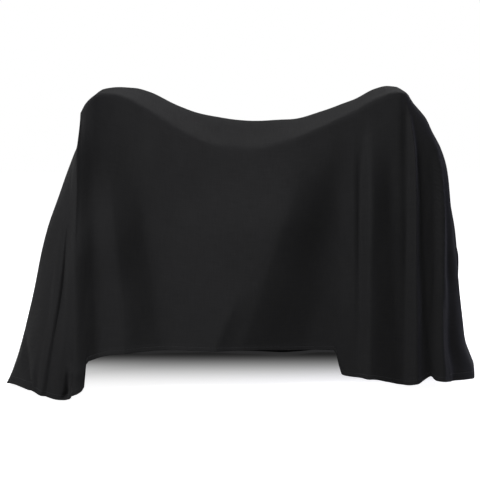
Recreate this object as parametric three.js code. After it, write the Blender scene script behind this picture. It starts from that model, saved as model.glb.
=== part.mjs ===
// Drum set cover: one sheet of black woven cloth in the shape in which it hangs, hollow and open below.
// Millimetres, +Z up, +X to the viewer's right, -Y to the front. The tables count heights from the floor.
// The origin lies on the underside of the top, at the middle of the cover.
import * as THREE from 'three';

// Driving dimensions
const CLOTH_THICKNESS = 3;
const REACH = { left: 990, right: 1005, front: 360, back: 430 };
const FOOTPRINT_POWER = 4;
const FALL_HEIGHT = 1200;

// How round the ridge is and how round the lip is where the top turns over into the front and the back,
// as shares of the top's drop, and how the cloth curves out below that lip
const CREST_ROUNDNESS = 0.08;
const LIP_ROUNDNESS = 0.045;
const FALL_CURVE = 1.3;

// A fold is this much of its width where it starts, and its foot is this round
const FOLD_START_WIDTH = 0.55;
const FOOT_ROUNDNESS = 0.2;

// The power of a fold's way to the side, unless its row gives another: 1 slants evenly, and less runs fast to
// the side at first and hangs straighter further down
const FOLD_SWEEP = 0.38;

// Rays run from the ridge to the hem, with levels that lie closer together near the ridge
const LEVELS = 17;
const LEVEL_POWER = 1.5;
const FOOTPRINT_SAMPLES = 1600;

// An edge position counts round the hem: 0 front left corner, 1 front right, 2 back right, 3 back left
const EDGE_ROUND = 4;

// The ridge, from the left crown over the sag to the right crown, with how far the top reaches out there
// to the front and back, and how far it has dropped at its lip
const RIDGE = [
  { x: -632, height: 1126, depth: 290, drop: 10 },
  { x: -616, height: 1160, depth: 288, drop: 11 },
  { x: -592, height: 1189, depth: 274, drop: 12 },
  { x: -562, height: 1211, depth: 246, drop: 16 },
  { x: -500, height: 1218, depth: 206, drop: 26 },
  { x: -440, height: 1214, depth: 180, drop: 48 },
  { x: -378, height: 1194, depth: 164, drop: 66 },
  { x: -250, height: 1136, depth: 152, drop: 92 },
  { x: -100, height: 1094, depth: 155, drop: 112 },
  { x: 63, height: 1074, depth: 160, drop: 108 },
  { x: 200, height: 1082, depth: 156, drop: 80 },
  { x: 350, height: 1119, depth: 138, drop: 54 },
  { x: 470, height: 1160, depth: 124, drop: 44 },
  { x: 560, height: 1208, depth: 120, drop: 40 },
  { x: 615, height: 1222, depth: 124, drop: 30 },
  { x: 650, height: 1219, depth: 126, drop: 22 },
  { x: 672, height: 1208, depth: 120, drop: 14 },
];

// How far the left and right flanks have come out, as a share of their way from crown to hem,
// at a depth below the crown that is a share of the fall height
const FLANKS = [
  { below: 0, left: 0, right: 0 },
  { below: 0.02, left: 0, right: 0.08 },
  { below: 0.042, left: 0, right: 0.13 },
  { below: 0.07, left: 0, right: 0.22 },
  { below: 0.1, left: 0, right: 0.305 },
  { below: 0.145, left: 0.052, right: 0.38 },
  { below: 0.2, left: 0.102, right: 0.485 },
  { below: 0.28, left: 0.16, right: 0.575 },
  { below: 0.4, left: 0.26, right: 0.65 },
  { below: 0.56, left: 0.385, right: 0.735 },
  { below: 0.73, left: 0.535, right: 0.82 },
  { below: 0.87, left: 0.674, right: 0.89 },
  { below: 0.915, left: 0.727, right: 0.945 },
  { below: 0.945, left: 0.779, right: 0.985 },
  { below: 1, left: 0.779, right: 1 },
];

// The hem: low at the four corner tails, higher along the front and back, arched at the sides
const HEM = [
  { at: 0, height: 30 },
  { at: 0.06, height: 17 },
  { at: 0.095, height: 11 },
  { at: 0.13, height: 8 },
  { at: 0.155, height: 12 },
  { at: 0.169, height: 24 },
  { at: 0.178, height: 36 },
  { at: 0.182, height: 42 },
  { at: 0.186, height: 56 },
  { at: 0.189, height: 105 },
  { at: 0.191, height: 147 },
  { at: 0.2, height: 151 },
  { at: 0.25, height: 172 },
  { at: 0.3, height: 179 },
  { at: 0.5, height: 179 },
  { at: 0.615, height: 165 },
  { at: 0.69, height: 161 },
  { at: 0.694, height: 148 },
  { at: 0.7, height: 98 },
  { at: 0.704, height: 70 },
  { at: 0.712, height: 64 },
  { at: 0.735, height: 60 },
  { at: 0.765, height: 60 },
  { at: 0.8, height: 46 },
  { at: 0.83, height: 32 },
  { at: 0.85, height: 28 },
  { at: 0.875, height: 38 },
  { at: 0.905, height: 53 },
  { at: 0.921, height: 58 },
  { at: 0.945, height: 40 },
  { at: 0.97, height: 38 },
  { at: 1.02, height: 31 },
  { at: 1.1, height: 30 },
  { at: 1.2, height: 25 },
  { at: 1.3, height: 180 },
  { at: 1.4, height: 430 },
  { at: 1.5, height: 530 },
  { at: 1.6, height: 450 },
  { at: 1.74, height: 190 },
  { at: 1.9, height: 20 },
  { at: 2, height: 6 },
  { at: 2.15, height: 12 },
  { at: 2.5, height: 14 },
  { at: 2.85, height: 12 },
  { at: 3, height: 6 },
  { at: 3.1, height: 20 },
  { at: 3.26, height: 190 },
  { at: 3.4, height: 450 },
  { at: 3.5, height: 530 },
  { at: 3.58, height: 460 },
  { at: 3.68, height: 180 },
  { at: 3.76, height: 4 },
  { at: 3.8, height: 13 },
  { at: 3.84, height: 24 },
  { at: 3.88, height: 31 },
  { at: 3.92, height: 34 },
];

// The main folds: each starts at one share of the fall height and is full at another, runs from one edge
// position at its start to another at the hem, and stands out by its depth, or lies in where that is
// negative. It has its own width on the side before it and on the side after it, and its crest is as round
// as a share of that width.
const FOLDS = [
  // Left flank and front left tail
  { start: 0.05, full: 0.4, begin: 3.86, end: 3.86, before: 140, after: 330, depth: 60, round: 0.3 },
  { start: 0.3, full: 0.6, begin: 0.076, end: 0.076, before: 16, after: 60, depth: -18, round: 0.2 },
  { start: 0, full: 0.15, begin: 0.139, end: 0.17, before: 560, after: 66, depth: 70, round: 0.15 },
  { start: 0.5, full: 0.9, begin: 0.08, end: 0.09, before: 170, after: 130, depth: 60, round: 0.6 },
  // Front, under the left crown
  { start: 0.22, full: 0.52, begin: 0.19, end: 0.273, before: 340, after: 145, depth: 84, round: 0.15 },
  // Front, the long slanting ridge and the small one beside it
  {
    start: 0.06, full: 0.36, begin: 0.64, end: 0.442,
    before: 520, after: 275, depth: 105, round: 0.15, sweep: 1,
  },
  { start: 0.5, full: 0.85, begin: 0.596, end: 0.408, before: 260, after: 75, depth: 30, round: 0.08 },
  // Front right tail
  { start: 0.06, full: 0.4, begin: 0.736, end: 0.736, before: 80, after: 18, depth: 14, round: 0.2 },
  { start: 0.06, full: 0.4, begin: 0.777, end: 0.758, before: 36, after: 112, depth: 58, round: 0.15 },
  { start: 0.03, full: 0.24, begin: 0.923, end: 0.873, before: 36, after: 62, depth: 46, round: 0.2 },
  { start: 0.08, full: 0.4, begin: 1.254, end: 0.962, before: 34, after: 44, depth: 34, round: 0.2 },
  { start: 0.2, full: 0.6, begin: 1.285, end: 1.03, before: 20, after: 40, depth: -8, round: 0.3 },
  // Right side
  { start: 0.2, full: 0.65, begin: 1.33, end: 1.33, before: 90, after: 90, depth: -30, round: 0.5 },
  { start: 0.2, full: 0.65, begin: 1.68, end: 1.68, before: 105, after: 105, depth: -40, round: 0.5 },
  // Back, between its two tails
  { start: 0.3, full: 0.75, begin: 1.95, end: 1.93, before: 110, after: 110, depth: 95, round: 0.4 },
  { start: 0.1, full: 0.55, begin: 2.13, end: 2.13, before: 90, after: 90, depth: -55, round: 0.4 },
  { start: 0.2, full: 0.65, begin: 2.28, end: 2.3, before: 90, after: 90, depth: 30, round: 0.4 },
  { start: 0.15, full: 0.6, begin: 2.42, end: 2.4, before: 105, after: 105, depth: -32, round: 0.4 },
  { start: 0.25, full: 0.7, begin: 2.6, end: 2.57, before: 120, after: 120, depth: 26, round: 0.4 },
  { start: 0.15, full: 0.6, begin: 2.73, end: 2.72, before: 90, after: 90, depth: -36, round: 0.4 },
  { start: 0.1, full: 0.55, begin: 2.86, end: 2.86, before: 85, after: 85, depth: -50, round: 0.4 },
  { start: 0.3, full: 0.75, begin: 3.04, end: 3.06, before: 110, after: 110, depth: 95, round: 0.4 },
  // Left side
  { start: 0.2, full: 0.65, begin: 3.3, end: 3.3, before: 105, after: 105, depth: -40, round: 0.5 },
  { start: 0.2, full: 0.65, begin: 3.64, end: 3.64, before: 90, after: 90, depth: -30, round: 0.5 },
];

// A smooth curve through one column of a table, with no overshoot between its rows
function curveThrough(rows, key, column) {
  const steepness = rows.slice(1).map((row, i) => (
    (row[column] - rows[i][column]) / (row[key] - rows[i][key])
  ));
  const tangent = rows.map((row, i) => {
    const before = steepness[Math.max(i - 1, 0)];
    const after = steepness[Math.min(i, steepness.length - 1)];
    return before * after > 0 ? (2 * before * after) / (before + after) : 0;
  });
  return (at) => {
    const place = THREE.MathUtils.clamp(at, rows[0][key], rows[rows.length - 1][key]);
    const next = Math.max(rows.findIndex((row) => row[key] >= place), 1);
    const last = next - 1;
    const step = rows[next][key] - rows[last][key];
    const t = (place - rows[last][key]) / step;
    const u = 1 - t;
    return rows[last][column] * (1 + 2 * t) * u * u + rows[next][column] * (1 + 2 * u) * t * t
      + step * t * u * (tangent[last] * u - tangent[next] * t);
  };
}

// The same table with its neighbours before and after it, for a curve that runs round and closes
function roundTrip(rows, key, length) {
  const shifted = (by) => rows.map((row) => ({ ...row, [key]: row[key] + by }));
  return [...shifted(-length), ...rows, ...shifted(length)];
}

const ridgeHeight = curveThrough(RIDGE, 'x', 'height');
const topDepth = curveThrough(RIDGE, 'x', 'depth');
const lipDrop = curveThrough(RIDGE, 'x', 'drop');
const hemHeight = curveThrough(roundTrip(HEM, 'at', EDGE_ROUND), 'at', 'height');
const flankShare = {
  left: curveThrough(FLANKS, 'below', 'left'),
  right: curveThrough(FLANKS, 'below', 'right'),
};
const RIDGE_LEFT = RIDGE[0].x;
const RIDGE_RIGHT = RIDGE[RIDGE.length - 1].x;
const ORIGIN_HEIGHT = ridgeHeight(0) - CLOTH_THICKNESS;

// The point of the unit square at an edge position
function onSquare(at) {
  const place = THREE.MathUtils.euclideanModulo(at, EDGE_ROUND);
  const side = Math.floor(place);
  const t = 2 * (place - side) - 1;
  return [[t, -1], [1, t], [-t, 1], [-1, -t]][side];
}

// The hem's loop seen from above, a square pulled in to a rounded form, with the direction out of it
function footprint(at) {
  const [squareX, squareY] = onSquare(at);
  const power = FOOTPRINT_POWER;
  const pull = (Math.abs(squareX) ** power + Math.abs(squareY) ** power) ** (-1 / power);
  const [a, b] = [squareX * pull, squareY * pull];
  const wide = a > 0 ? REACH.right : REACH.left;
  const deep = b > 0 ? REACH.back : REACH.front;
  const out = new THREE.Vector2(
    (Math.sign(a) * Math.abs(a) ** (power - 1)) / wide,
    (Math.sign(b) * Math.abs(b) ** (power - 1)) / deep,
  );
  return { x: a * wide, y: b * deep, out: out.normalize() };
}

// The edge position, on the front, whose ray starts at a given place along the ridge
function edgeUnderRidge(x) {
  const reach = x > 0 ? REACH.right : REACH.left;
  const a = (Math.abs(x) / reach) ** FOOTPRINT_POWER;
  return (1 + Math.sign(x) * (a / (1 - a)) ** (1 / FOOTPRINT_POWER)) / 2;
}

// Length round the footprint, so that folds keep their widths in millimetres
const ARC = [0];
for (let i = 1; i <= FOOTPRINT_SAMPLES; i += 1) {
  const here = footprint((EDGE_ROUND * i) / FOOTPRINT_SAMPLES);
  const before = footprint((EDGE_ROUND * (i - 1)) / FOOTPRINT_SAMPLES);
  ARC.push(ARC[i - 1] + Math.hypot(here.x - before.x, here.y - before.y));
}
const ARC_LENGTH = ARC[FOOTPRINT_SAMPLES];

function arcAt(at) {
  const place = (THREE.MathUtils.euclideanModulo(at, EDGE_ROUND) / EDGE_ROUND) * FOOTPRINT_SAMPLES;
  const i = Math.min(Math.floor(place), FOOTPRINT_SAMPLES - 1);
  return THREE.MathUtils.lerp(ARC[i], ARC[i + 1], place - i);
}

// The lesser of two shares, with the corner between them rounded
function roundedMin(a, b) {
  return (a + b - Math.sqrt((a - b) ** 2 + 4 * LIP_ROUNDNESS ** 2)) / 2;
}

// How far the front or back has come out at a depth below the ridge: over the top to its lip, then down
function faceShare(below, ridgeX, reach) {
  const drop = lipDrop(ridgeX);
  const topShare = topDepth(ridgeX) / reach;
  const t = below / drop;
  const overCrest = Math.sqrt((t * (t + 2 * CREST_ROUNDNESS)) / (1 + 2 * CREST_ROUNDNESS));
  const atRidge = roundedMin(0, 1);
  const turned = Math.min((roundedMin(overCrest, 1) - atRidge) / (1 - atRidge), 1);
  const fallen = THREE.MathUtils.clamp((below - drop / 2) / (FALL_HEIGHT - drop / 2), 0, 1);
  return topShare * turned + (1 - topShare) * fallen ** FALL_CURVE;
}

// How far one fold moves the cloth out: a straight wall up to its crest and another down from it
function oneFold(fold, place, fallShare) {
  const run = THREE.MathUtils.clamp((fallShare - fold.start) / (1 - fold.start), 0, 1);
  const middle = arcAt(THREE.MathUtils.lerp(fold.begin, fold.end, run ** (fold.sweep ?? FOLD_SWEEP)));
  const away = THREE.MathUtils.euclideanModulo(place - middle + ARC_LENGTH / 2, ARC_LENGTH) - ARC_LENGTH / 2;
  const width = away < 0 ? fold.before : fold.after;
  const spread = width * THREE.MathUtils.lerp(FOLD_START_WIDTH, 1, run);
  const far = Math.hypot(away / spread, fold.round) - fold.round;
  const height = (1 - far + Math.hypot(1 - far, FOOT_ROUNDNESS)) / (1 + Math.hypot(1, FOOT_ROUNDNESS));
  return fold.depth * THREE.MathUtils.smoothstep(fallShare, fold.start, fold.full) * height;
}

// How far all folds together move the cloth out at an edge position and a share of the fall height
function foldOffset(at, fallShare) {
  const place = arcAt(at);
  return FOLDS.reduce((offset, fold) => offset + oneFold(fold, place, fallShare), 0);
}

// The cloth's outer surface at an edge position, and at a share of the way from the ridge to the hem
function clothPoint(at, share) {
  const hem = footprint(at);
  const ridgeX = THREE.MathUtils.clamp(hem.x, RIDGE_LEFT, RIDGE_RIGHT);
  const below = share * (ridgeHeight(ridgeX) - hemHeight(THREE.MathUtils.euclideanModulo(at, EDGE_ROUND)));
  const fallShare = below / FALL_HEIGHT;
  const flank = hem.x < 0 ? flankShare.left : flankShare.right;
  const reach = hem.y < 0 ? REACH.front : REACH.back;
  const offset = foldOffset(at, fallShare);
  return new THREE.Vector3(
    ridgeX + (hem.x - ridgeX) * flank(fallShare) + hem.out.x * offset,
    hem.y * faceShare(below, ridgeX, reach) + hem.out.y * offset,
    ridgeHeight(ridgeX) - below - ORIGIN_HEIGHT,
  );
}

// The rays: the front and back ones start opposite each other along the ridge, the rest at its two ends
const frontLeft = edgeUnderRidge(RIDGE_LEFT);
const frontRight = edgeUnderRidge(RIDGE_RIGHT);
const FRONT_SPANS = [
  { from: frontLeft, to: 0.3, rays: 14 },
  { from: 0.3, to: 0.69, rays: 17 },
  { from: 0.69, to: frontRight, rays: 15 },
];
const RIGHT_SPANS = [
  { from: frontRight, to: 1.25, rays: 20 },
  { from: 1.25, to: 3 - frontRight, rays: 13 },
];
const BACK_SPANS = FRONT_SPANS.map(({ from, to, rays }) => ({ from: 3 - to, to: 3 - from, rays })).reverse();
const LEFT_SPANS = [
  { from: 3 - frontLeft, to: 3.7, rays: 13 },
  { from: 3.7, to: EDGE_ROUND, rays: 10 },
  { from: EDGE_ROUND, to: EDGE_ROUND + frontLeft, rays: 14 },
];
const RAYS = [...FRONT_SPANS, ...RIGHT_SPANS, ...BACK_SPANS, ...LEFT_SPANS].flatMap(({ from, to, rays }) => (
  Array.from({ length: rays }, (_, i) => THREE.MathUtils.lerp(from, to, i / rays))
));

// The outer sheet: rays that start at one point of the ridge share it
function outerSheet() {
  const points = [];
  const ridgePoints = new Map();
  const columns = RAYS.map((at) => {
    const top = clothPoint(at, 0);
    const name = top.x.toFixed(3);
    if (!ridgePoints.has(name)) {
      ridgePoints.set(name, points.push(top) - 1);
    }
    const column = [ridgePoints.get(name)];
    for (let level = 1; level <= LEVELS; level += 1) {
      column.push(points.push(clothPoint(at, (level / LEVELS) ** LEVEL_POWER)) - 1);
    }
    return column;
  });
  const triangles = [];
  columns.forEach((left, i) => {
    const right = columns[(i + 1) % columns.length];
    for (let level = 0; level < LEVELS; level += 1) {
      triangles.push([left[level], left[level + 1], right[level + 1]]);
      if (left[level] !== right[level]) {
        triangles.push([left[level], right[level + 1], right[level]]);
      }
    }
  });
  const hem = columns.map((column) => column[LEVELS]);
  return { points, triangles, hem };
}

function indexedGeometry(points, triangles) {
  const geometry = new THREE.BufferGeometry().setFromPoints(points);
  geometry.setIndex(triangles.flat());
  geometry.computeVertexNormals();
  return geometry;
}

// The sheet with its thickness: the outer side, the same side moved in, and the cut edge along the hem
function clothSolid() {
  const { points, triangles, hem } = outerSheet();
  const normals = indexedGeometry(points, triangles).getAttribute('normal');
  const inner = points.map((point, i) => (
    new THREE.Vector3().fromBufferAttribute(normals, i).multiplyScalar(-CLOTH_THICKNESS).add(point)
  ));
  const inside = (i) => i + points.length;
  const lining = triangles.map(([a, b, c]) => [inside(a), inside(c), inside(b)]);
  const edge = hem.flatMap((here, i) => {
    const next = hem[(i + 1) % hem.length];
    return [[next, here, inside(here)], [next, inside(here), inside(next)]];
  });
  return indexedGeometry([...points, ...inner], [...triangles, ...lining, ...edge]);
}

const wovenBlack = new THREE.MeshStandardMaterial({ color: '#28282a', roughness: 0.88, metalness: 0 });

const cover = new THREE.Mesh(clothSolid(), wovenBlack);
cover.name = 'cover';

const drumSetCover = new THREE.Group();
drumSetCover.add(cover);

export default drumSetCover;
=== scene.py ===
"""Drum set cover: one sheet of black woven polyester in the folds in which it hangs, hollow and open below.

The cloth is a grid over the flat cut sheet. Every point of the flat sheet is carried to the place where it
hangs: over a sagging ridge, down the front, the back and two flared flanks, into the main folds and tails,
and then a little out or in where creases cross it. The same tables shape the solid that this sheet replaces.
"""

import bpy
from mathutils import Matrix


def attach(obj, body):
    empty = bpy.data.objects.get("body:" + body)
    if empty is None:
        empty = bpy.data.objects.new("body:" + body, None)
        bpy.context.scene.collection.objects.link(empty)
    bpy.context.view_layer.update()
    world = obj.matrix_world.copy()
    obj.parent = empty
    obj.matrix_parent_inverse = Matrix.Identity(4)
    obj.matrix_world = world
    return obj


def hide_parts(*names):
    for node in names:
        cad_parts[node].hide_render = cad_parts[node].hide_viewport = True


bl_info = {
    "name": "Drum Set Cover",
    "version": (1, 0, 0),
    "blender": (4, 5, 0),
    "location": "View3D > Sidebar > Drum Cover",
    "description": "Drapes the cloth of a drum set cover, sews its hem and sets up a pale studio",
    "category": "Add Mesh",
}

from collections import namedtuple

import bpy
import numpy as np
from mathutils import Vector

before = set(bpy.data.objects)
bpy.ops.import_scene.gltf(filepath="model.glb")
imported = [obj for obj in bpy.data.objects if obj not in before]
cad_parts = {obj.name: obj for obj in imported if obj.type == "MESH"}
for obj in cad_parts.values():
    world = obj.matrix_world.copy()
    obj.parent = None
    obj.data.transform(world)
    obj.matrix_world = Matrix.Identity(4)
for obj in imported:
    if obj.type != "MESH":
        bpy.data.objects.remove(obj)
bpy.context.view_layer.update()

BODY = "root"
CLOTH_NODE = "cover"

# Tables and sizes of the drape are in millimetres, with heights counted from the floor.
MM = 0.001

# The least length that anything is divided by
TINY = 1e-9

# The corners of a square about the middle, once round
SQUARE = np.array([(-1, -1), (1, -1), (1, 1), (-1, 1)])


def table(columns, rows):
    """A short table with named columns."""
    return np.array(rows, dtype=[(name, float) for name in columns.split()])


# How far the hem reaches from the middle, and how square its loop is seen from above
REACH_LEFT = 990
REACH_RIGHT = 1005
REACH_FRONT = 360
REACH_BACK = 430
FOOTPRINT_POWER = 4

# The height of which flanks and folds count their shares, and the thickness of the solid that has this drape
FALL_HEIGHT = 1200
SOLID_THICKNESS = 3

# How round the ridge is and how round the lip is where the top turns over into the front and the back, as
# shares of the top's drop, and how the cloth curves out below that lip
CREST_ROUNDNESS = 0.08
LIP_ROUNDNESS = 0.045
FALL_CURVE = 1.3

# A fold is this much of its width where it starts, and its foot is this round
FOLD_START_WIDTH = 0.55
FOOT_ROUNDNESS = 0.2

# An edge position counts round the hem: 0 front left corner, 1 front right, 2 back right, 3 back left. A
# place on the front and the one straight behind it add up to three.
EDGE_ROUND = 4
FRONT_AND_BACK = 3
RIGHT_MIDDLE = 1.5
LEFT_MIDDLE = 3.5

# Samples round the hem, and down each ray from the ridge to the hem, where their power brings them closer
# together near the ridge
RAY_SAMPLES = 1600
LEVEL_SAMPLES = 120
LEVEL_POWER = 2

# The ridge, from the left crown over the sag to the right crown, with how far the top reaches out there to
# the front and back, and how far it has dropped at its lip
RIDGE = table("x height depth drop", [
    (-632, 1126, 290, 10), (-616, 1160, 288, 11), (-592, 1189, 274, 12), (-562, 1211, 246, 16),
    (-500, 1218, 206, 26), (-440, 1214, 180, 48), (-378, 1194, 164, 66), (-250, 1136, 152, 92),
    (-100, 1094, 155, 112), (63, 1074, 160, 108), (200, 1082, 156, 80), (350, 1119, 138, 54),
    (470, 1160, 124, 44), (560, 1208, 120, 40), (615, 1222, 124, 30), (650, 1219, 126, 22),
    (672, 1208, 120, 14),
])

# How far the flanks have come out, as a share of their way, at a depth that is a share of the fall height
FLANKS = table("below left right", [
    (0.000, 0.000, 0.000), (0.020, 0.000, 0.080), (0.042, 0.000, 0.130), (0.070, 0.000, 0.220),
    (0.100, 0.000, 0.305), (0.145, 0.052, 0.380), (0.200, 0.102, 0.485), (0.280, 0.160, 0.575),
    (0.400, 0.260, 0.650), (0.560, 0.385, 0.735), (0.730, 0.535, 0.820), (0.870, 0.674, 0.890),
    (0.915, 0.727, 0.945), (0.945, 0.779, 0.985), (1.000, 0.779, 1.000),
])

# The hem: low at the four corner tails, higher along the front and back, arched at the sides
HEM = table("at height", [
    # Front left tail
    (0.00, 30), (0.06, 17), (0.095, 11), (0.13, 8), (0.155, 12), (0.169, 24), (0.178, 36), (0.182, 42),
    (0.186, 56), (0.189, 105), (0.191, 147),
    # Front
    (0.20, 151), (0.25, 172), (0.30, 179), (0.50, 179), (0.615, 165), (0.69, 161),
    # Front right tail
    (0.694, 148), (0.70, 98), (0.704, 70), (0.712, 64), (0.735, 60), (0.765, 60), (0.80, 46), (0.83, 32),
    (0.85, 28), (0.875, 38), (0.905, 53), (0.921, 58), (0.945, 40), (0.97, 38), (1.02, 31), (1.10, 30),
    # Right side
    (1.20, 25), (1.30, 180), (1.40, 430), (1.50, 530), (1.60, 450), (1.74, 190), (1.90, 20),
    # Back
    (2.00, 6), (2.15, 12), (2.50, 14), (2.85, 12), (3.00, 6),
    # Left side, up to the front left tail
    (3.10, 20), (3.26, 190), (3.40, 450), (3.50, 530), (3.58, 460), (3.68, 180), (3.76, 4), (3.80, 13),
    (3.84, 24), (3.88, 31), (3.92, 34),
])

# The main folds: each starts at one share of the fall height and is full at another, runs from one edge
# position at its start to another at the hem, and stands out by its depth, or lies in where that is
# negative. It has its own width on the side before it and on the side after it, and its crest is as round as
# a share of that width. Its sweep is the power of its way to the side: 1 slants evenly, and less runs fast to
# the side at first and hangs straighter further down.
FOLDS = table("start full begin end before after depth round sweep", [
    # Left flank and front left tail
    (0.05, 0.40, 3.860, 3.860, 140, 330, 60, 0.3, 0.38),
    (0.30, 0.60, 0.076, 0.076, 16, 60, -18, 0.2, 0.38),
    (0.00, 0.15, 0.139, 0.170, 560, 66, 70, 0.15, 0.38),
    (0.50, 0.90, 0.080, 0.090, 170, 130, 60, 0.6, 0.38),
    # Front, under the left crown
    (0.22, 0.52, 0.190, 0.273, 340, 145, 84, 0.15, 0.38),
    # Front, the long slanting ridge and the small one beside it
    (0.06, 0.36, 0.640, 0.442, 520, 275, 105, 0.15, 1.0),
    (0.50, 0.85, 0.596, 0.408, 260, 75, 30, 0.08, 0.38),
    # Front right tail
    (0.06, 0.40, 0.736, 0.736, 80, 18, 14, 0.2, 0.38),
    (0.06, 0.40, 0.777, 0.758, 36, 112, 58, 0.15, 0.38),
    (0.03, 0.24, 0.923, 0.873, 36, 62, 46, 0.2, 0.38),
    (0.08, 0.40, 1.254, 0.962, 34, 44, 34, 0.2, 0.38),
    (0.20, 0.60, 1.285, 1.030, 20, 40, -8, 0.3, 0.38),
    # Right side
    (0.20, 0.65, 1.330, 1.330, 90, 90, -30, 0.5, 0.38),
    (0.20, 0.65, 1.680, 1.680, 105, 105, -40, 0.5, 0.38),
    # Back, between its two tails
    (0.30, 0.75, 1.950, 1.930, 110, 110, 95, 0.4, 0.38),
    (0.10, 0.55, 2.130, 2.130, 90, 90, -55, 0.4, 0.38),
    (0.20, 0.65, 2.280, 2.300, 90, 90, 30, 0.4, 0.38),
    (0.15, 0.60, 2.420, 2.400, 105, 105, -32, 0.4, 0.38),
    (0.25, 0.70, 2.600, 2.570, 120, 120, 26, 0.4, 0.38),
    (0.15, 0.60, 2.730, 2.720, 90, 90, -36, 0.4, 0.38),
    (0.10, 0.55, 2.860, 2.860, 85, 85, -50, 0.4, 0.38),
    (0.30, 0.75, 3.040, 3.060, 110, 110, 95, 0.4, 0.38),
    # Left side
    (0.20, 0.65, 3.300, 3.300, 105, 105, -40, 0.5, 0.38),
    (0.20, 0.65, 3.640, 3.640, 90, 90, -30, 0.5, 0.38),
])

# Soft troughs and ridges across the front, placed on the hanging cloth as seen from there, x to the right and
# z up from the floor. Each runs straight between two points, fades out at both, stands out by its depth, or
# lies in where that is negative, and has its own width on its left and on its right, seen along its run.
CREASES = table("x0 z0 x1 z1 left right depth", [
    # Front left tail: a soft ridge, a crease that turns to the foot, and a small one beside it
    (-719, 640, -805, 90, 45, 45, 4),
    (-880, 260, -838, 30, 18, 6, -12),
    (-856, 130, -806, -40, 18, 6, -12),
    (-808, 125, -802, 0, 14, 6, -7),
    # The turned-up corner of the tail's foot: its left edge and the tuck beside that, its upper edge and the
    # tuck below
    (-655, 165, -663, -90, 60, 10, 22),
    (-668, 145, -675, -20, 9, 9, -14),
    (-715, 125, -545, 74, 30, 8, 8),
    (-654, 66, -702, -6, 10, 10, -14),
    # Front: the small triangle by the slanting ridge, and two kinks on that ridge
    (20, 470, -135, 100, 16, 60, 5),
    (28, 545, 70, 500, 9, 12, -3),
    (32, 475, 74, 425, 9, 12, -3),
])

# Long soft waves that keep the panels from being even: wavelength, direction in degrees, shift, height
WAVES = table("length direction shift height", [
    (410, 12, 0.6, 2.2), (290, 97, 1.9, 1.2), (205, 38, 4.1, 0.9), (133, 161, 2.7, 0.5),
])

# Grid lines that lie close together along the hem, as distances from the cut edge
HEM_LINES = np.array([0, 2, 5, 10, 13, 15, 17, 20, 24, 30])

# The relief of the doubled hem. It flares out towards the cut edge from a little past its inner edge, rises
# in a step from outside that inner edge to inside it, has a groove along its stitches, at a distance from
# that edge, and drops off over the fold at the cut edge. The layers turned in behind it end within a short
# way on either side of that inner edge.
FLARE_HEIGHT = 2.5
FLARE_PAST = 8
FLARE_POWER = 1.5
STEP_HEIGHT = 0.9
STEP_OUTSIDE = 3
STEP_INSIDE = 1
GROOVE_DEPTH = 0.8
GROOVE_WIDTH = 2
GROOVE_INSIDE = 5
EDGE_DROP = 0.9
EDGE_WIDTH = 4
LAYERS_END = 2

# One stitch: rings at shares of its length, with shares of the thread's radius, and of its diameter above the
# cloth
STITCH = table("along radius lift", [(-0.5, 0.4, -0.4), (-0.3, 1, 0.25), (0.3, 1, 0.25), (0.5, 0.4, -0.4)])
STITCH_SIDES = 4


def curve_through(rows, key, column, period=None):
    """A smooth curve through one column: cubics between the rows, whose tangents are the harmonic means of
    the slopes on both sides, or level where the slope changes sign, so that it never overshoots."""
    places, values = rows[key], rows[column]
    if period:
        places = np.concatenate([places - period, places, places + period])
        values = np.tile(values, 3)
    steps = np.diff(places)
    slopes = np.diff(values) / steps
    before, after = np.append(slopes[0], slopes), np.append(slopes, slopes[-1])
    one_way = before * after > 0
    tangents = np.where(one_way, 2 * before * after / np.where(one_way, before + after, 1), 0)

    def curve(at):
        place = np.clip(at, places[0], places[-1])
        i = np.clip(np.searchsorted(places, place) - 1, 0, len(steps) - 1)
        t = (place - places[i]) / steps[i]
        u = 1 - t
        ends = values[i] * (1 + 2 * t) * u * u + values[i + 1] * (1 + 2 * u) * t * t
        return ends + steps[i] * t * u * (tangents[i] * u - tangents[i + 1] * t)

    return curve


ridge_height = curve_through(RIDGE, "x", "height")
top_depth = curve_through(RIDGE, "x", "depth")
lip_drop = curve_through(RIDGE, "x", "drop")
hem_height = curve_through(HEM, "at", "height", EDGE_ROUND)
left_flank = curve_through(FLANKS, "below", "left")
right_flank = curve_through(FLANKS, "below", "right")
RIDGE_LEFT, RIDGE_RIGHT = RIDGE["x"][0], RIDGE["x"][-1]
ORIGIN_HEIGHT = float(ridge_height(0)) - SOLID_THICKNESS
FLOOR = -ORIGIN_HEIGHT * MM


def smooth_step(low, high, value):
    """0 below low, 1 above high, and a cubic that is level at both between them."""
    t = np.clip((value - low) / (high - low), 0, 1)
    return t * t * (3 - 2 * t)


def footprint(at):
    """The hem's loop seen from above and the direction out of it: the point of a unit square at an edge
    position, pulled in to the curve on which the fourth powers of both sides sum to one, then stretched."""
    place = np.mod(at, EDGE_ROUND)
    side = np.floor(place).astype(int)
    t = 2 * (place - side) - 1
    one = np.ones_like(t)
    square_x = np.choose(side, [t, one, -t, -one])
    square_y = np.choose(side, [-one, t, one, -t])
    power = FOOTPRINT_POWER
    pull = (np.abs(square_x) ** power + np.abs(square_y) ** power) ** (-1 / power)
    a, b = square_x * pull, square_y * pull
    wide = np.where(a > 0, REACH_RIGHT, REACH_LEFT)
    deep = np.where(b > 0, REACH_BACK, REACH_FRONT)
    out_x = np.sign(a) * np.abs(a) ** (power - 1) / wide
    out_y = np.sign(b) * np.abs(b) ** (power - 1) / deep
    length = np.hypot(out_x, out_y)
    return a * wide, b * deep, out_x / length, out_y / length


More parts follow.
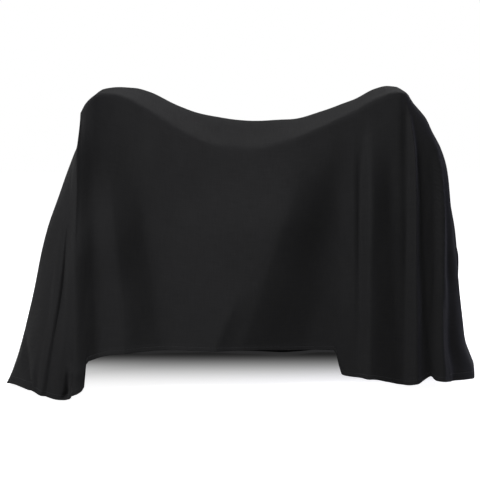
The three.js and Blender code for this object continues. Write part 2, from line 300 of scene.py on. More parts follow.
def edge_under_ridge(x):
    """The edge position on the front whose ray starts at a place along the ridge, the footprint's inverse."""
    share = (np.abs(x) / np.where(x > 0, REACH_RIGHT, REACH_LEFT)) ** FOOTPRINT_POWER
    return (1 + np.sign(x) * (share / (1 - share)) ** (1 / FOOTPRINT_POWER)) / 2


EDGE_PLACES = np.linspace(0, EDGE_ROUND, RAY_SAMPLES + 1)
LOOP_X, LOOP_Y = footprint(EDGE_PLACES)[:2]
LOOP_LENGTHS = np.append(0, np.cumsum(np.hypot(np.diff(LOOP_X), np.diff(LOOP_Y))))


def along_hem(at):
    """Length round the footprint from the front left corner to an edge position."""
    return np.interp(np.mod(at, EDGE_ROUND), EDGE_PLACES, LOOP_LENGTHS)


def rounded_min(a, b):
    """The lesser of two shares, with the corner between them rounded to a hyperbola."""
    return (a + b - np.sqrt((a - b) ** 2 + 4 * LIP_ROUNDNESS ** 2)) / 2


def face_share(below, ridge_x, reach):
    """How far the front or back has come out at a depth below the ridge: over a rounded crest and a straight
    top to the lip, then down along a power curve to the floor."""
    drop = lip_drop(ridge_x)
    top_share = top_depth(ridge_x) / reach
    t = np.maximum(below, 0) / drop
    over_crest = np.sqrt(t * (t + 2 * CREST_ROUNDNESS) / (1 + 2 * CREST_ROUNDNESS))
    at_ridge = rounded_min(0, 1)
    turned = np.minimum((rounded_min(over_crest, 1) - at_ridge) / (1 - at_ridge), 1)
    fallen = np.clip((below - drop / 2) / (FALL_HEIGHT - drop / 2), 0, 1)
    return top_share * turned + (1 - top_share) * fallen ** FALL_CURVE


def fold_offset(at, fall_share):
    """How far all folds together move the cloth out: each has a straight wall up to its crest and another
    down from it, both rounded at crest and foot by hyperbolas. Its middle runs between two edge positions,
    its depth grows from its start to where it is full, and its width grows to the hem."""
    place, loop = along_hem(at), LOOP_LENGTHS[-1]
    offset = np.zeros(np.broadcast(at, fall_share).shape)
    for fold in FOLDS:
        run = np.clip((fall_share - fold["start"]) / (1 - fold["start"]), 0, 1)
        middle = along_hem(fold["begin"] + (fold["end"] - fold["begin"]) * run ** fold["sweep"])
        away = np.mod(place - middle + loop / 2, loop) - loop / 2
        width = np.where(away < 0, fold["before"], fold["after"])
        spread = width * (FOLD_START_WIDTH + (1 - FOLD_START_WIDTH) * run)
        far = np.hypot(away / spread, fold["round"]) - fold["round"]
        height = (1 - far + np.hypot(1 - far, FOOT_ROUNDNESS)) / (1 + np.hypot(1, FOOT_ROUNDNESS))
        offset += fold["depth"] * smooth_step(fold["start"], fold["full"], fall_share) * height
    return offset


def cloth_points(at, share, folded=True):
    """The hanging cloth at an edge position and a share of the fall from ridge to hem: from the ridge, the
    flank's share out to the side, the face's share out to the front or back, and the folds' offset."""
    hem_x, hem_y, out_x, out_y = footprint(at)
    ridge_x = np.clip(hem_x, RIDGE_LEFT, RIDGE_RIGHT)
    top = ridge_height(ridge_x)
    below = share * (top - hem_height(np.mod(at, EDGE_ROUND)))
    fall_share = below / FALL_HEIGHT
    flank = np.where(hem_x < 0, left_flank(fall_share), right_flank(fall_share))
    reach = np.where(hem_y < 0, REACH_FRONT, REACH_BACK)
    offset = fold_offset(at, fall_share) if folded else 0
    x = ridge_x + (hem_x - ridge_x) * flank + out_x * offset
    y = hem_y * face_share(below, ridge_x, reach) + out_y * offset
    return np.stack(np.broadcast_arrays(x, y, top - below - ORIGIN_HEIGHT), axis=-1)


def even_falls():
    """For each ray, without its folds, the share of the fall at even steps of length along it, as a table
    over rays and steps."""
    steps = np.linspace(0, 1, LEVEL_SAMPLES)
    falls = steps ** LEVEL_POWER
    rays = cloth_points(EDGE_PLACES[:, None], falls[None, :], folded=False)
    lengths = np.cumsum(np.linalg.norm(np.diff(rays, axis=1), axis=-1), axis=1)
    shares = np.pad(lengths / lengths[:, -1:], ((0, 0), (1, 0)))
    return np.stack([np.interp(steps, ray, falls) for ray in shares])


def between(values, row, column):
    """A table read between its rows and columns, by the four entries round each place."""
    i = np.clip(np.floor(row).astype(int), 0, values.shape[0] - 2)
    j = np.clip(np.floor(column).astype(int), 0, values.shape[1] - 2)
    extra = (1,) * (values.ndim - 2)
    s = (row - i).reshape(row.shape + extra)
    t = (column - j).reshape(column.shape + extra)
    low = values[i, j] * (1 - t) + values[i, j + 1] * t
    high = values[i + 1, j] * (1 - t) + values[i + 1, j + 1] * t
    return low * (1 - s) + high * s


RIDGE_PLACES = np.linspace(RIDGE_LEFT, RIDGE_RIGHT, RAY_SAMPLES)
RIDGE_LENGTHS = np.append(0, np.cumsum(np.hypot(np.diff(RIDGE_PLACES), np.diff(ridge_height(RIDGE_PLACES)))))
HALF_RIDGE = RIDGE_LENGTHS[-1] / 2
FRONT_LEFT, FRONT_RIGHT = edge_under_ridge(RIDGE_LEFT), edge_under_ridge(RIDGE_RIGHT)


def edge_and_share(x, y, half_length, half_width):
    """The ray on which a point of the flat sheet hangs, and its share of the ray's length. Between the crowns
    the rays run straight from the ridge to the front and back edges. Past a crown they fan out from it to the
    sheet's outline, on which the front, the side and the back share the edge positions between them."""
    ridge_x = np.interp(np.clip(x, -HALF_RIDGE, HALF_RIDGE) + HALF_RIDGE, RIDGE_LENGTHS, RIDGE_PLACES)
    out = np.maximum(np.abs(x) - HALF_RIDGE, 0) / (half_length - HALF_RIDGE)
    across = y / half_width
    share = np.maximum(out, np.abs(across))
    full = np.maximum(share, TINY)
    edge_out, edge_across = out / full, across / full
    front = np.select(
        [x < -HALF_RIDGE, x > HALF_RIDGE],
        [FRONT_LEFT * (1 - edge_out), FRONT_RIGHT + (1 - FRONT_RIGHT) * edge_out],
        edge_under_ridge(ridge_x),
    )
    front_or_back = np.where(y < 0, front, FRONT_AND_BACK - front)
    side = np.where(x > 0, RIGHT_MIDDLE + edge_across / 2, LEFT_MIDDLE - edge_across / 2)
    return np.where(edge_out >= 1, side, front_or_back), share


def crease_offset(x, y, points):
    """How far creases and waves move the cloth out: each crease is a bell curve across its line on the
    hanging front, with a width for either side, that fades out towards both ends, and each wave is a sine
    along its direction on the flat sheet."""
    offset = np.zeros_like(x)
    across, height = points[..., 0], points[..., 2] + ORIGIN_HEIGHT
    for crease in CREASES:
        run_x, run_z = crease["x1"] - crease["x0"], crease["z1"] - crease["z0"]
        run = np.hypot(run_x, run_z)
        along = ((across - crease["x0"]) * run_x + (height - crease["z0"]) * run_z) / run ** 2
        away = ((height - crease["z0"]) * run_x - (across - crease["x0"]) * run_z) / run
        fade = np.sin(np.pi * np.clip(along, 0, 1)) ** 2
        width = np.where(away > 0, crease["left"], crease["right"])
        offset += np.where(y < 0, crease["depth"] * fade * np.exp(-((away / width) ** 2)), 0)
    for wave in WAVES:
        turn = np.radians(wave["direction"])
        phase = (x * np.cos(turn) + y * np.sin(turn)) * 2 * np.pi / wave["length"]
        offset += wave["height"] * np.sin(phase + wave["shift"])
    return offset


def hem_offset(inset, hem_width):
    """How far the doubled hem stands out at a distance from the cut edge: the power curve of its flare, the
    low step at its inner edge, the bell curve of the groove under its stitches, and the parabola of the fold
    at the cut edge."""
    flare = FLARE_HEIGHT * np.clip(1 - inset / (hem_width + FLARE_PAST), 0, 1) ** FLARE_POWER
    step = STEP_HEIGHT * smooth_step(hem_width + STEP_OUTSIDE, hem_width - STEP_INSIDE, inset)
    groove = -GROOVE_DEPTH * np.exp(-(((inset - hem_width + GROOVE_INSIDE) / GROOVE_WIDTH) ** 2))
    fold = -EDGE_DROP * (1 - np.clip(inset / EDGE_WIDTH, 0, 1)) ** 2
    return flare + step + groove + fold


def flat_lines(half_size, spacing):
    """Places of the grid lines across the flat sheet: even ones inside, and close ones along both hems."""
    inner = half_size - HEM_LINES[-1]
    even = np.linspace(-inner, inner, round(2 * inner / spacing) + 1)
    hem = half_size - HEM_LINES[:-1]
    return np.concatenate([-hem, even, hem[::-1]])


def unit(vectors):
    """Vectors scaled to length one."""
    return vectors / np.maximum(np.linalg.norm(vectors, axis=-1, keepdims=True), TINY)


def grid_normals(points):
    """Normals of a grid of points, across its two directions. A corner takes the normal next to it, because
    both directions run along the hem there."""
    normals = np.cross(np.gradient(points, axis=1), np.gradient(points, axis=0))
    for row, next_row in ((0, 1), (-1, -2)):
        for column, next_column in ((0, 1), (-1, -2)):
            normals[row, column] = normals[next_row, next_column]
    return unit(normals)


def draped_grid(cloth):
    """The outer side of the hanging sheet on its grid: its lines along x and y in millimetres, its points in
    metres and its normals. Creases and the hem move each point along its normal."""
    half_length, half_width = cloth.length / MM / 2, cloth.width / MM / 2
    lines_x = flat_lines(half_length, cloth.spacing_along / MM)
    lines_y = flat_lines(half_width, cloth.spacing_across / MM)
    y, x = np.meshgrid(lines_y, lines_x, indexing="ij")
    at, share = edge_and_share(x, y, half_length, half_width)
    fall = between(even_falls(), at * RAY_SAMPLES / EDGE_ROUND, share * (LEVEL_SAMPLES - 1))
    points = cloth_points(at, fall)
    inset = np.minimum(half_length - np.abs(x), half_width - np.abs(y))
    offset = crease_offset(x, y, points) + hem_offset(inset, cloth.hem_width / MM)
    points = points + grid_normals(points) * offset[..., None]
    return lines_x, lines_y, points * MM, grid_normals(points)


def grid_quads(rows, columns):
    """Corners of all quads of a grid whose points are numbered row by row."""
    first = (np.arange(rows - 1)[:, None] * columns + np.arange(columns - 1)[None, :]).ravel()
    return np.stack([first, first + 1, first + columns + 1, first + columns], axis=-1)


def grid_outline(rows, columns):
    """The numbers of a grid's outermost points, once round."""
    numbers = np.arange(rows * columns).reshape(rows, columns)
    sides = (numbers[0, :-1], numbers[:-1, -1], numbers[-1, :0:-1], numbers[:0:-1, 0])
    return np.concatenate(sides)


def stitch_places(half_length, half_width, pitch):
    """Flat places of all stitches, evenly along the four sides of a rectangle, and the way each one runs."""
    corners = SQUARE * (half_length, half_width)
    places, ways = [], []
    for start, end in zip(corners, np.roll(corners, -1, axis=0)):
        length = np.linalg.norm(end - start)
        count = round(length / pitch)
        shares = (np.arange(count) + 0.5) / count
        places.append(start + (end - start) * shares[:, None])
        ways.append(np.tile((end - start) / length, (count, 1)))
    return np.concatenate(places), np.concatenate(ways)


def sewn_stitches(cloth, hem):
    """Points and quads of all stitches: each is a short bar with four sides along the hem, read off the
    hanging sheet's grid, that dips into the cloth at both ends."""
    lines_x, lines_y, outer, normals = draped_grid(cloth)
    inset = hem.inset / MM
    places, ways = stitch_places(lines_x[-1] - inset, lines_y[-1] - inset, hem.stitch_pitch / MM)
    along = STITCH["along"] * hem.stitch_length / MM
    flat = places[:, None] + ways[:, None] * along[:, None]
    row = np.interp(flat[..., 1], lines_y, np.arange(len(lines_y)))
    column = np.interp(flat[..., 0], lines_x, np.arange(len(lines_x)))
    out = unit(between(normals, row, column))
    middle = between(outer, row, column) + out * (STITCH["lift"] * hem.thread_diameter)[:, None]
    aside = unit(np.cross(out, middle[:, -1:] - middle[:, :1]))
    turns = np.arange(STITCH_SIDES) * 2 * np.pi / STITCH_SIDES
    spokes = out[:, :, None] * np.cos(turns)[:, None] + aside[:, :, None] * np.sin(turns)[:, None]
    points = middle[:, :, None] + spokes * (STITCH["radius"] * hem.thread_diameter / 2)[:, None, None]
    rings = np.arange(len(STITCH) * STITCH_SIDES).reshape(len(STITCH), STITCH_SIDES)
    ahead = np.roll(rings, -1, axis=1)
    sides = np.stack([rings[:-1], ahead[:-1], ahead[1:], rings[1:]], axis=-1).reshape(-1, 4)
    quads = np.concatenate([sides, rings[:1, ::-1], rings[-1:]])
    starts = np.arange(len(places)) * rings.size
    return points.reshape(-1, 3), (starts[:, None, None] + quads).reshape(-1, 4)


def mesh_object(name, points, quads, material):
    """A smooth mesh of quads as an object at the origin."""
    mesh = bpy.data.meshes.new(name)
    mesh.vertices.add(len(points))
    mesh.vertices.foreach_set("co", np.ascontiguousarray(points, dtype=np.float32).ravel())
    mesh.loops.add(quads.size)
    mesh.loops.foreach_set("vertex_index", quads.astype(np.int32).ravel())
    mesh.polygons.add(len(quads))
    mesh.polygons.foreach_set("loop_start", np.arange(0, quads.size, 4, dtype=np.int32))
    mesh.polygons.foreach_set("use_smooth", np.ones(len(quads), dtype=bool))
    mesh.update(calc_edges=True)
    mesh.validate()
    mesh.materials.append(material)
    piece = bpy.data.objects.new(name, mesh)
    bpy.context.scene.collection.objects.link(piece)
    return piece


def add_map(piece, name, corners):
    """A UV map with a place for each corner of each face."""
    layer = piece.data.uv_layers.new(name=name)
    layer.data.foreach_set("uv", np.ascontiguousarray(corners, dtype=np.float32).ravel())


# The layout of the map for baking, in shares of its unit square: the margin round it, the size of either
# side of the sheet, how far the inner side lies above the outer one, the bottom and top of the cut edge's
# strip, and how much of its place in that strip a face fills
BAKE_MARGIN = 0.002
BAKE_SHEET = (0.996, 0.486)
BAKE_INNER = (0, 0.496)
BAKE_STRIP = (0.99, 0.998)
BAKE_FILL = 0.9


def bake_corners(flat, size, quads, edges):
    """Places in the unit square for the cloth's faces, none on another: the outer side below, the inner side
    above it, and the cut edge's faces side by side in a strip at the top."""
    outer = BAKE_MARGIN + (flat / size + 0.5) * BAKE_SHEET
    inner = outer + BAKE_INNER
    step = BAKE_SHEET[0] / edges
    starts = BAKE_MARGIN + np.arange(edges) * step
    ends = starts + BAKE_FILL * step
    low, high = (np.full(edges, place) for place in BAKE_STRIP)
    strip = np.stack([ends, low, starts, low, starts, high, ends, high], axis=-1).reshape(-1, 4, 2)
    return np.concatenate([outer[quads], inner[quads[:, ::-1]], strip])


def linear(hex_colour):
    """An sRGB hex colour as linear red, green, blue, by the straight line and the power curve of sRGB."""
    parts = np.array([int(hex_colour[i:i + 2], 16) for i in (1, 3, 5)]) / 255
    return tuple(np.where(parts <= 0.04045, parts / 12.92, ((parts + 0.055) / 1.055) ** 2.4).tolist())


def add_node(tree, kind, inputs=None, **settings):
    """Adds a node, sets its settings, and sets or links its inputs, which are named or numbered."""
    node = tree.nodes.new(kind)
    for key, value in settings.items():
        setattr(node, key, value)
    for key, value in (inputs or {}).items():
        if isinstance(value, bpy.types.NodeSocket):
            tree.links.new(value, node.inputs[key])
        else:
            node.inputs[key].default_value = value
    return node


WHITE = (*linear("#ffffff"), 1)


def new_material(name):
    """An empty node material with its Principled shader on the output."""
    material = bpy.data.materials.new(name)
    material.use_nodes = True
    tree = material.node_tree
    tree.nodes.clear()
    shader = add_node(tree, "ShaderNodeBsdfPrincipled")
    add_node(tree, "ShaderNodeOutputMaterial", {"Surface": shader.outputs[0]})
    return material, tree, shader


# Real threads lie about 0.4 mm apart. They are drawn coarser, so that the weave shows close by.
THREAD_PITCH = 2.4
THREAD_RELIEF = 0.4

# Thick places in the threads, soft patches of tone, and the spans of their patterns' sums that set the tone
# from dark to light and the roughness
SLUB_LENGTH = 70
SLUB_WIDTH = 5
SLUB_RELIEF = 0.5
PATCH_SIZE = 260
TONE_SPAN = (1.0, 2.0)
SLUB_SPAN = (0.6, 1.4)
ROUGHNESS_SPAN = (0.9, 0.78)

# Names of the cloth's two maps: its flat cut in metres, and the one for baking
FLAT_MAP = "flat_cut"
BAKE_MAP = "OFBake"


def woven_polyester(cloth):
    """Black plain-woven polyester: dull, a little lighter at a glancing angle, with fine crossing threads,
    faint thick places along both thread directions, and a tone that drifts softly across the sheet."""
    material, tree, shader = new_material("woven_polyester_black")
    flat = add_node(tree, "ShaderNodeUVMap", uv_map=FLAT_MAP).outputs[0]
    turn = np.pi / (THREAD_PITCH * MM)
    phases = add_node(tree, "ShaderNodeVectorMath", {0: flat, 1: (turn, turn, 0)}, operation="MULTIPLY")
    waves = add_node(tree, "ShaderNodeVectorMath", {0: phases.outputs[0]}, operation="SINE")
    threads = add_node(tree, "ShaderNodeSeparateXYZ", {0: waves.outputs[0]})
    weave = add_node(
        tree, "ShaderNodeMath", {0: threads.outputs[0], 1: threads.outputs[1]}, operation="MULTIPLY")
    slubs = []
    for size_x, size_y in ((SLUB_LENGTH, SLUB_WIDTH), (SLUB_WIDTH, SLUB_LENGTH)):
        scale = (1 / (size_x * MM), 1 / (size_y * MM), 1)
        place = add_node(tree, "ShaderNodeMapping", {"Vector": flat, "Scale": scale})
        noise = add_node(
            tree, "ShaderNodeTexNoise",
            {"Vector": place.outputs[0], "Scale": 1.0, "Detail": 2.0, "Roughness": 0.5},
            noise_dimensions="2D")
        slubs.append(noise.outputs["Fac"])
    slub = add_node(tree, "ShaderNodeMath", {0: slubs[0], 1: slubs[1]}, operation="ADD")
    patch = add_node(
        tree, "ShaderNodeTexNoise",
        {"Vector": flat, "Scale": 1 / (PATCH_SIZE * MM), "Detail": 3.0, "Roughness": 0.55},
        noise_dimensions="2D")
    tone = add_node(
        tree, "ShaderNodeMath", {0: slub.outputs[0], 1: patch.outputs["Fac"]}, operation="ADD")
    tone_share = add_node(
        tree, "ShaderNodeMapRange",
        {"Value": tone.outputs[0], "From Min": TONE_SPAN[0], "From Max": TONE_SPAN[1]})
    colour = add_node(
        tree, "ShaderNodeMix",
        {"Factor": tone_share.outputs[0], 6: (*cloth.dark_colour, 1), 7: (*cloth.light_colour, 1)},
        data_type="RGBA")
    rough = add_node(
        tree, "ShaderNodeMapRange",
        {"Value": slub.outputs[0], "From Min": SLUB_SPAN[0], "From Max": SLUB_SPAN[1],
         "To Min": ROUGHNESS_SPAN[0], "To Max": ROUGHNESS_SPAN[1]})
    thread_bump = add_node(
        tree, "ShaderNodeBump",
        {"Strength": 0.35, "Distance": THREAD_RELIEF * MM, "Height": weave.outputs[0]})
    slub_bump = add_node(
        tree, "ShaderNodeBump",
        {"Strength": 0.06, "Distance": SLUB_RELIEF * MM, "Height": slub.outputs[0],
         "Normal": thread_bump.outputs[0]})
    tree.links.new(colour.outputs[2], shader.inputs["Base Color"])
    tree.links.new(rough.outputs[0], shader.inputs["Roughness"])
    tree.links.new(slub_bump.outputs[0], shader.inputs["Normal"])
    shader.inputs["Specular IOR Level"].default_value = 0.08
    shader.inputs["Sheen Weight"].default_value = 0.02
    shader.inputs["Sheen Roughness"].default_value = 0.45
    return material


# The wave pattern repeats about every 0.36 of its unit along its diagonal, so a unit of three thread
# diameters sets the plies about one diameter apart
PLY_UNIT = 3
PLY_RELIEF = 0.2


def spun_thread(hem):
    """Black polyester sewing thread: twisted, so a touch glossier than the cloth, with slanting plies."""
    material, tree, shader = new_material("sewing_thread_black")
    place = add_node(tree, "ShaderNodeTexCoord").outputs["Object"]
    plies = add_node(
        tree, "ShaderNodeTexWave",
        {"Vector": place, "Scale": 1 / (PLY_UNIT * hem.thread_diameter), "Distortion": 1.0},
        bands_direction="DIAGONAL")
    bump = add_node(
        tree, "ShaderNodeBump",
        {"Strength": 0.4, "Distance": PLY_RELIEF * MM, "Height": plies.outputs["Fac"]})
    tree.links.new(bump.outputs[0], shader.inputs["Normal"])
    shader.inputs["Base Color"].default_value = (*hem.thread_colour, 1)
    shader.inputs["Roughness"].default_value = 0.55
    shader.inputs["Specular IOR Level"].default_value = 0.3
    return material


# The painted shade on the floor under the cover, in metres from the middle: where it is clear and where it is
# full, to either side, from the front and from behind, and how much light the floor still gives off where it
# is full
SHADE_ASIDE = (1.15, 0.85)
SHADE_FRONT = (-0.33, 0.40)
SHADE_BEHIND = (0.85, 0.55)
SHADE_GLOW = 0.015


def pale_floor(stage):
    """Matt white studio paper that gives off light of its own, so that no horizon shows. Under the cover its
    shade is partly cast by the lamps and partly painted: its glow drops and its colour turns dark there, by
    the product of three soft steps."""
    material, tree, shader = new_material("studio_paper_white")
    place = add_node(tree, "ShaderNodeTexCoord").outputs["Object"]
    axes = add_node(tree, "ShaderNodeSeparateXYZ", {0: place})
    aside = add_node(tree, "ShaderNodeMath", {0: axes.outputs[0]}, operation="ABSOLUTE")
    spans = ((aside, 0, SHADE_ASIDE), (axes, 1, SHADE_FRONT), (axes, 1, SHADE_BEHIND))
    shades = []
    for node, output, (clear, dark) in spans:
        shade = add_node(
            tree, "ShaderNodeMapRange",
            {"Value": node.outputs[output], "From Min": min(clear, dark), "From Max": max(clear, dark),
             "To Min": float(clear > dark), "To Max": float(clear < dark)},
            interpolation_type="SMOOTHSTEP")
        shades.append(shade.outputs[0])
    across = add_node(tree, "ShaderNodeMath", {0: shades[0], 1: shades[1]}, operation="MULTIPLY")
    under = add_node(tree, "ShaderNodeMath", {0: across.outputs[0], 1: shades[2]}, operation="MULTIPLY")
    # Painted shade: under the cover the floor's own glow drops and its colour turns to the dark painted shade
    # colour
    glow = add_node(
        tree, "ShaderNodeMapRange", {"Value": under.outputs[0], "To Min": 1.0, "To Max": SHADE_GLOW})
    paper = add_node(
        tree, "ShaderNodeMix",
        {"Factor": under.outputs[0], 6: (*stage.floor_colour, 1), 7: (*stage.painted_shade_colour, 1)},
        data_type="RGBA")
    tree.links.new(glow.outputs[0], shader.inputs["Emission Strength"])
    tree.links.new(paper.outputs[2], shader.inputs["Base Color"])
    shader.inputs["Emission Color"].default_value = WHITE
    shader.inputs["Roughness"].default_value = 0.9
    shader.inputs["Specular IOR Level"].default_value = 0.1
    return material


class DRUMCOVER_PG_cloth(bpy.types.PropertyGroup):
    """Sizes and finish of the cloth."""

    length: bpy.props.FloatProperty(
        name="Cut length", description="Length of the flat sheet, along the ridge", default=2.74,
        unit="LENGTH")
    width: bpy.props.FloatProperty(
        name="Cut width", description="Width of the flat sheet, from front to back", default=2.20,
        unit="LENGTH")
    thickness: bpy.props.FloatProperty(
        name="Thickness", description="Thickness of the single cloth", default=0.0012, unit="LENGTH")
    hem_width: bpy.props.FloatProperty(
        name="Hem width", description="Width of the doubled and stitched hem", default=0.020, unit="LENGTH")
    hem_layers: bpy.props.FloatProperty(
        name="Hem thickness", description="Thickness that the turned-in layers add inside the hem",
        default=0.0014, unit="LENGTH")
    spacing_along: bpy.props.FloatProperty(
        name="Grid along", description="Grid spacing along the ridge", default=0.0105, unit="LENGTH")
    spacing_across: bpy.props.FloatProperty(
        name="Grid across", description="Grid spacing from front to back", default=0.0135, unit="LENGTH")
    dark_colour: bpy.props.FloatVectorProperty(
        name="Dark threads", description="Colour of the darker threads", subtype="COLOR",
        default=linear("#1b1b1c"))
    light_colour: bpy.props.FloatVectorProperty(
        name="Light threads", description="Colour of the lighter threads", subtype="COLOR",
        default=linear("#1e1e1f"))


class DRUMCOVER_PG_hem(bpy.types.PropertyGroup):
    """Sizes and colour of the hem's stitches."""

    inset: bpy.props.FloatProperty(
        name="Inset", description="Distance of the stitches from the cut edge", default=0.015, unit="LENGTH")
    stitch_length: bpy.props.FloatProperty(
        name="Stitch length", description="Length of one stitch", default=0.0042, unit="LENGTH")
    stitch_pitch: bpy.props.FloatProperty(
        name="Stitch pitch", description="Distance from stitch to stitch", default=0.0056, unit="LENGTH")
    thread_diameter: bpy.props.FloatProperty(
        name="Thread", description="Diameter of the sewing thread", default=0.0011, unit="LENGTH")
    thread_colour: bpy.props.FloatVectorProperty(
        name="Thread colour", description="Colour of the sewing thread", subtype="COLOR",
        default=linear("#2a2a2c"))


class DRUMCOVER_PG_stage(bpy.types.PropertyGroup):
    """Floor and camera."""

    floor_radius: bpy.props.FloatProperty(
        name="Floor radius", description="Half the side of the floor", default=12.0, unit="LENGTH")
    floor_colour: bpy.props.FloatVectorProperty(
        name="Floor colour", description="Colour of the floor", subtype="COLOR", default=linear("#f4f4f4"))
    # Painted shade: the dark colour the floor is given under the cover
    painted_shade_colour: bpy.props.FloatVectorProperty(
        name="Shade colour", description="Colour of the floor in the shade under the cover", subtype="COLOR",
        default=linear("#161617"))
    camera_distance: bpy.props.FloatProperty(
        name="Camera distance", description="Distance of the camera in front of the ridge", default=5.5,
        unit="LENGTH")
    camera_height: bpy.props.FloatProperty(
        name="Camera height", description="Height of the camera above the floor", default=1.248,
        unit="LENGTH")
    camera_pitch: bpy.props.FloatProperty(
        name="Camera pitch", description="How far the camera looks down", default=np.radians(7),
        subtype="ANGLE")
    camera_lens: bpy.props.FloatProperty(
        name="Lens", description="Focal length in millimetres on a 36 mm sensor", default=98.25)


class DRUMCOVER_OT_drape_cloth(bpy.types.Operator):
    """Drapes the cloth: its outer side on the grid, its inner side behind it, and the cut edge between"""

    bl_idname = "drum_cover.drape_cloth"
    bl_label = "Drape Cloth"

    def execute(self, context):
        cloth = context.scene.drum_cover_cloth
        lines_x, lines_y, outer, normals = draped_grid(cloth)
        rows, columns = outer.shape[:2]
        y, x = np.meshgrid(lines_y * MM, lines_x * MM, indexing="ij")
        inset = np.minimum(cloth.length / 2 - np.abs(x), cloth.width / 2 - np.abs(y))
        end = LAYERS_END * MM
        turned_in = cloth.hem_layers * smooth_step(cloth.hem_width + end, cloth.hem_width - end, inset)
        inner = outer - normals * (cloth.thickness + turned_in)[..., None]
        count = rows * columns
        quads = grid_quads(rows, columns)
        outline = grid_outline(rows, columns)
        ahead = np.roll(outline, -1)
        edge = np.stack([ahead, outline, outline + count, ahead + count], axis=-1)
        faces = np.concatenate([quads, quads[:, ::-1] + count, edge])
        points = np.concatenate([outer.reshape(-1, 3), inner.reshape(-1, 3)])
        piece = mesh_object("cover_cloth", points, faces, woven_polyester(cloth))
        flat = np.stack([x, y], axis=-1).reshape(-1, 2)
        add_map(piece, BAKE_MAP, bake_corners(flat, (cloth.length, cloth.width), quads, len(edge)))
        add_map(piece, FLAT_MAP, np.concatenate([flat, flat])[faces])
        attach(piece, BODY)
        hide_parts(CLOTH_NODE)
        return {"FINISHED"}


class DRUMCOVER_OT_sew_hem(bpy.types.Operator):
    """Sews the hem: one row of short stitches all round"""

    bl_idname = "drum_cover.sew_hem"
    bl_label = "Sew Hem"

    def execute(self, context):
        cloth, hem = context.scene.drum_cover_cloth, context.scene.drum_cover_hem
        stitches = mesh_object("hem_stitches", *sewn_stitches(cloth, hem), spun_thread(hem))
        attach(stitches, BODY)
        return {"FINISHED"}


# Studio lamps: places and sizes in metres, with heights above the floor, and powers in watts
Lamp = namedtuple("Lamp", "name x y z aim_x aim_z wide high power colour")
LAMPS = (
    Lamp("key", -0.5, -2.6, 3.6, 0.0, 0.7, 1.2, 1.2, 78, "#ffffff"),
    Lamp("front", -0.8, -1.8, 2.2, 0.0, 0.7, 1.2, 1.2, 22, "#ffffff"),
    Lamp("left", -2.6, -1.8, 2.2, 0.0, 0.7, 1.2, 1.2, 47, "#ffffff"),
    Lamp("right", 3.6, 0.6, 1.2, 0.9, 0.5, 1.0, 1.6, 45, "#dcdcff"),
    Lamp("back", 1.0, 1.5, 3.5, 0.0, 0.7, 1.2, 1.2, 70, "#ffffff"),
)

# How bright the surround looks and how much of that lights the cloth, and the width of the camera's sensor
SURROUND_LOOK = 1.0
SURROUND_LIGHT = 0.05
SENSOR_WIDTH = 36


def add_lamp(lamp, collection):
    """A soft rectangular lamp at its place, turned towards its aim on the plane through the ridge."""
    place = Vector((lamp.x, lamp.y, lamp.z + FLOOR))
    aim = Vector((lamp.aim_x, 0, lamp.aim_z + FLOOR))
    light = bpy.data.lights.new(lamp.name, "AREA")
    light.shape = "RECTANGLE"
    light.size = lamp.wide
    light.size_y = lamp.high
    light.energy = lamp.power
    light.color = linear(lamp.colour)
    holder = bpy.data.objects.new(lamp.name, light)
    holder.location = place
    holder.rotation_euler = (aim - place).to_track_quat("-Z", "Y").to_euler()
    collection.objects.link(holder)


def add_surround(scene):
    """A white surround behind everything, which gives only a little light of its own to the cloth."""
    world = bpy.data.worlds.new("studio")
    world.use_nodes = True
    tree = world.node_tree
    tree.nodes.clear()
    path = add_node(tree, "ShaderNodeLightPath")
    seen = add_node(tree, "ShaderNodeBackground", {"Color": WHITE, "Strength": SURROUND_LOOK})
    light = add_node(tree, "ShaderNodeBackground", {"Color": WHITE, "Strength": SURROUND_LIGHT})
    mix = add_node(
        tree, "ShaderNodeMixShader",
        {0: path.outputs["Is Camera Ray"], 1: light.outputs[0], 2: seen.outputs[0]})
    add_node(tree, "ShaderNodeOutputWorld", {"Surface": mix.outputs[0]})
    scene.world = world


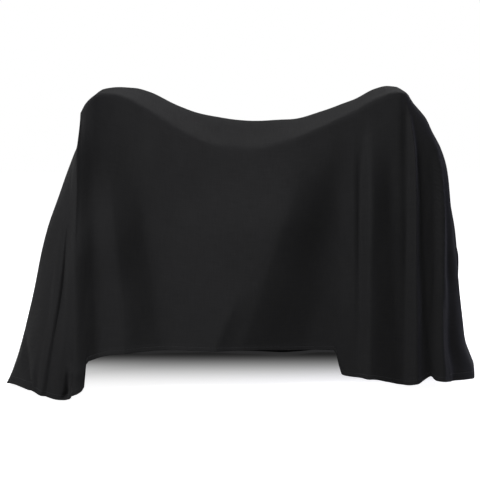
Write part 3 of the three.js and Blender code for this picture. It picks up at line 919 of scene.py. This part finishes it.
class DRUMCOVER_OT_set_stage(bpy.types.Operator):
    """Sets up the pale floor, the studio lights, the white surround and the camera"""

    bl_idname = "drum_cover.set_stage"
    bl_label = "Set Stage"

    def execute(self, context):
        stage = context.scene.drum_cover_stage
        points = np.column_stack([SQUARE * stage.floor_radius, np.full(len(SQUARE), FLOOR)])
        floor = mesh_object("floor", points, np.arange(len(SQUARE))[None, :], pale_floor(stage))
        floor.visible_diffuse = False
        for lamp in LAMPS:
            add_lamp(lamp, context.scene.collection)
        add_surround(context.scene)
        camera = bpy.data.objects.new("camera", bpy.data.cameras.new("camera"))
        camera.data.lens = stage.camera_lens
        camera.data.sensor_width = SENSOR_WIDTH
        camera.location = (0, -stage.camera_distance, stage.camera_height + FLOOR)
        camera.rotation_euler = (np.pi / 2 - stage.camera_pitch, 0, 0)
        context.scene.collection.objects.link(camera)
        context.scene.camera = camera
        context.scene.view_settings.view_transform = "Standard"
        return {"FINISHED"}


class DRUMCOVER_PT_sidebar(bpy.types.Panel):
    """Lists the steps that make the cover and the sizes they use"""

    bl_idname = "DRUMCOVER_PT_sidebar"
    bl_label = "Drum Set Cover"
    bl_space_type = "VIEW_3D"
    bl_region_type = "UI"
    bl_category = "Drum Cover"

    def draw(self, context):
        scene = context.scene
        steps = (
            (DRUMCOVER_OT_drape_cloth, scene.drum_cover_cloth),
            (DRUMCOVER_OT_sew_hem, scene.drum_cover_hem),
            (DRUMCOVER_OT_set_stage, scene.drum_cover_stage),
        )
        for operator, settings in steps:
            box = self.layout.box()
            for name in settings.__annotations__:
                box.prop(settings, name)
            box.operator(operator.bl_idname)


CLASSES = (
    DRUMCOVER_PG_cloth, DRUMCOVER_PG_hem, DRUMCOVER_PG_stage, DRUMCOVER_OT_drape_cloth,
    DRUMCOVER_OT_sew_hem, DRUMCOVER_OT_set_stage, DRUMCOVER_PT_sidebar,
)


def register():
    """Registers the classes and hangs their settings on the scene."""
    for cls in CLASSES:
        bpy.utils.register_class(cls)
    bpy.types.Scene.drum_cover_cloth = bpy.props.PointerProperty(type=DRUMCOVER_PG_cloth)
    bpy.types.Scene.drum_cover_hem = bpy.props.PointerProperty(type=DRUMCOVER_PG_hem)
    bpy.types.Scene.drum_cover_stage = bpy.props.PointerProperty(type=DRUMCOVER_PG_stage)


def unregister():
    """Takes the settings off the scene and unregisters the classes."""
    del bpy.types.Scene.drum_cover_stage
    del bpy.types.Scene.drum_cover_hem
    del bpy.types.Scene.drum_cover_cloth
    for cls in reversed(CLASSES):
        bpy.utils.unregister_class(cls)


def main():
    """Makes the cover and its stage."""
    register()
    bpy.ops.drum_cover.drape_cloth()
    bpy.ops.drum_cover.sew_hem()
    bpy.ops.drum_cover.set_stage()


if __name__ == "__main__":
    main()
